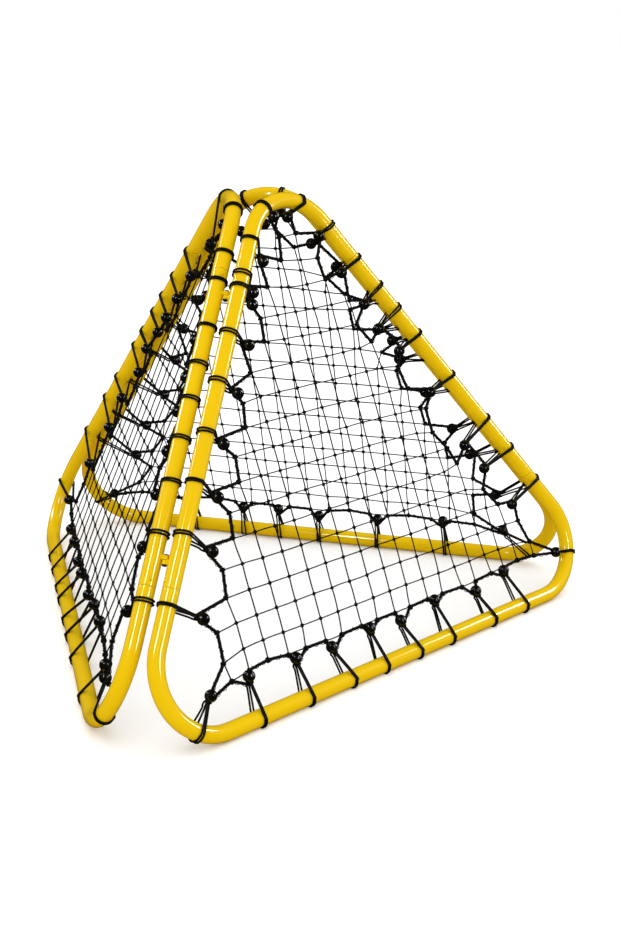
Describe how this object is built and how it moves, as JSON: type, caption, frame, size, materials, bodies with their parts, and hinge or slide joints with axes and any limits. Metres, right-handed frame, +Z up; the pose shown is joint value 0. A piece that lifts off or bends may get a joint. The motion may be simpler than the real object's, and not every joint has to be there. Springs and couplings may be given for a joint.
{
  "type": "pitch back rebounder",
  "caption": "Free-standing pyramid of hinged triangular tube panels, each holding a bungee-strung net that throws a ball back.",
  "frame": {"origin": "on the ground under the centre of the bounding box", "axes": "+X to the right of the front edge, +Y from the front edge to the rear panel, +Z up"},
  "size_m": [1.5224, 1.3556, 1.0639],
  "materials": {
    "tube": "glossy powder coat",
    "hinge": "glossy powder coat",
    "hinge_pin": "matt black",
    "button": "powder coated with the tube",
    "net": "knotted black twine",
    "border_rope": "twisted black rope",
    "bungee_cord": "braided black elastic",
    "bungee_ball": "glossy black"
  },
  "bodies": {
    "front_right_panel": {"front_right_base_rail": "tube", "front_right_crown": "tube", "front_right_corner_left": "tube", "front_right_side_left": "tube", "front_right_corner_right": "tube", "front_right_side_right": "tube", "front_right_net": "net", "front_right_net_border": "border_rope", "front_edge_lower_hinge_knuckle_right": "hinge", "front_edge_upper_hinge_knuckle_right": "hinge", "front_edge_lower_hinge_pin": "hinge_pin", "front_edge_upper_hinge_pin": "hinge_pin", "right_edge_lower_hinge_knuckle_left": "hinge", "right_edge_upper_hinge_knuckle_left": "hinge"},
    "front_left_panel": {"front_left_base_rail": "tube", "front_left_crown": "tube", "front_left_corner_left": "tube", "front_left_side_left": "tube", "front_left_corner_right": "tube", "front_left_side_right": "tube", "front_left_net": "net", "front_left_net_border": "border_rope", "front_edge_lower_hinge_knuckle_left": "hinge", "front_edge_upper_hinge_knuckle_left": "hinge", "left_edge_lower_hinge_knuckle_right": "hinge", "left_edge_upper_hinge_knuckle_right": "hinge"},
    "rear_panel": {"rear_base_rail": "tube", "rear_crown": "tube", "rear_corner_left": "tube", "rear_side_left": "tube", "rear_corner_right": "tube", "rear_side_right": "tube", "rear_net": "net", "rear_net_border": "border_rope", "right_edge_lower_hinge_knuckle_right": "hinge", "right_edge_upper_hinge_knuckle_right": "hinge", "right_edge_lower_hinge_pin": "hinge_pin", "right_edge_upper_hinge_pin": "hinge_pin", "left_edge_lower_hinge_knuckle_left": "hinge", "left_edge_upper_hinge_knuckle_left": "hinge", "left_edge_lower_hinge_pin": "hinge_pin", "left_edge_upper_hinge_pin": "hinge_pin"},
    "front_right_button_lower_left": {"front_right_button_lower_left": "button"},
    "front_right_button_lower_right": {"front_right_button_lower_right": "button"},
    "front_right_button_upper_left": {"front_right_button_upper_left": "button"},
    "front_right_button_upper_right": {"front_right_button_upper_right": "button"},
    "front_left_button_lower_left": {"front_left_button_lower_left": "button"},
    "front_left_button_lower_right": {"front_left_button_lower_right": "button"},
    "front_left_button_upper_left": {"front_left_button_upper_left": "button"},
    "front_left_button_upper_right": {"front_left_button_upper_right": "button"},
    "rear_button_lower_left": {"rear_button_lower_left": "button"},
    "rear_button_lower_right": {"rear_button_lower_right": "button"},
    "rear_button_upper_left": {"rear_button_upper_left": "button"},
    "rear_button_upper_right": {"rear_button_upper_right": "button"}
  },
  "joints": [
    {"name": "front_edge_hinge", "type": "hinge", "parent": "front_right_panel", "child": "front_left_panel", "pos_m": [0, -0.5023, 0.36322], "axis": [0, 0.638, 0.7701], "range_deg": [0, 55]},
    {"name": "right_edge_hinge", "type": "hinge", "parent": "front_right_panel", "child": "rear_panel", "pos_m": [0.57454, 0.49283, 0.36322], "axis": [0.5525, 0.319, -0.7701], "range_deg": [0, 55]},
    {"name": "front_right_button_lower_left_press", "type": "slide", "parent": "front_right_panel", "child": "front_right_button_lower_left", "axis": [0.5999, 0.6161, -0.5104], "range_m": [0, 0.003], "stiffness_N_per_m": 800, "springref_m": -0.002},
    {"name": "front_right_button_lower_right_press", "type": "slide", "parent": "front_right_panel", "child": "front_right_button_lower_right", "axis": [-0.2337, -0.8276, -0.5104], "range_m": [0, 0.003], "stiffness_N_per_m": 800, "springref_m": -0.002},
    {"name": "front_right_button_upper_left_press", "type": "slide", "parent": "front_right_panel", "child": "front_right_button_upper_left", "axis": [0.5999, 0.6161, -0.5104], "range_m": [0, 0.003], "stiffness_N_per_m": 800, "springref_m": -0.002},
    {"name": "front_right_button_upper_right_press", "type": "slide", "parent": "front_right_panel", "child": "front_right_button_upper_right", "axis": [-0.2337, -0.8276, -0.5104], "range_m": [0, 0.003], "stiffness_N_per_m": 800, "springref_m": -0.002},
    {"name": "front_left_button_lower_left_press", "type": "slide", "parent": "front_left_panel", "child": "front_left_button_lower_left", "axis": [0.2337, -0.8276, -0.5104], "range_m": [0, 0.003], "stiffness_N_per_m": 800, "springref_m": -0.002},
    {"name": "front_left_button_lower_right_press", "type": "slide", "parent": "front_left_panel", "child": "front_left_button_lower_right", "axis": [-0.5999, 0.6161, -0.5104], "range_m": [0, 0.003], "stiffness_N_per_m": 800, "springref_m": -0.002},
    {"name": "front_left_button_upper_left_press", "type": "slide", "parent": "front_left_panel", "child": "front_left_button_upper_left", "axis": [0.2337, -0.8276, -0.5104], "range_m": [0, 0.003], "stiffness_N_per_m": 800, "springref_m": -0.002},
    {"name": "front_left_button_upper_right_press", "type": "slide", "parent": "front_left_panel", "child": "front_left_button_upper_right", "axis": [-0.5999, 0.6161, -0.5104], "range_m": [0, 0.003], "stiffness_N_per_m": 800, "springref_m": -0.002},
    {"name": "rear_button_lower_left_press", "type": "slide", "parent": "rear_panel", "child": "rear_button_lower_left", "axis": [-0.8335, 0.2114, -0.5104], "range_m": [0, 0.003], "stiffness_N_per_m": 800, "springref_m": -0.002},
    {"name": "rear_button_lower_right_press", "type": "slide", "parent": "rear_panel", "child": "rear_button_lower_right", "axis": [0.8335, 0.2114, -0.5104], "range_m": [0, 0.003], "stiffness_N_per_m": 800, "springref_m": -0.002},
    {"name": "rear_button_upper_left_press", "type": "slide", "parent": "rear_panel", "child": "rear_button_upper_left", "axis": [-0.8335, 0.2114, -0.5104], "range_m": [0, 0.003], "stiffness_N_per_m": 800, "springref_m": -0.002},
    {"name": "rear_button_upper_right_press", "type": "slide", "parent": "rear_panel", "child": "rear_button_upper_right", "axis": [0.8335, 0.2114, -0.5104], "range_m": [0, 0.003], "stiffness_N_per_m": 800, "springref_m": -0.002}
  ]
}
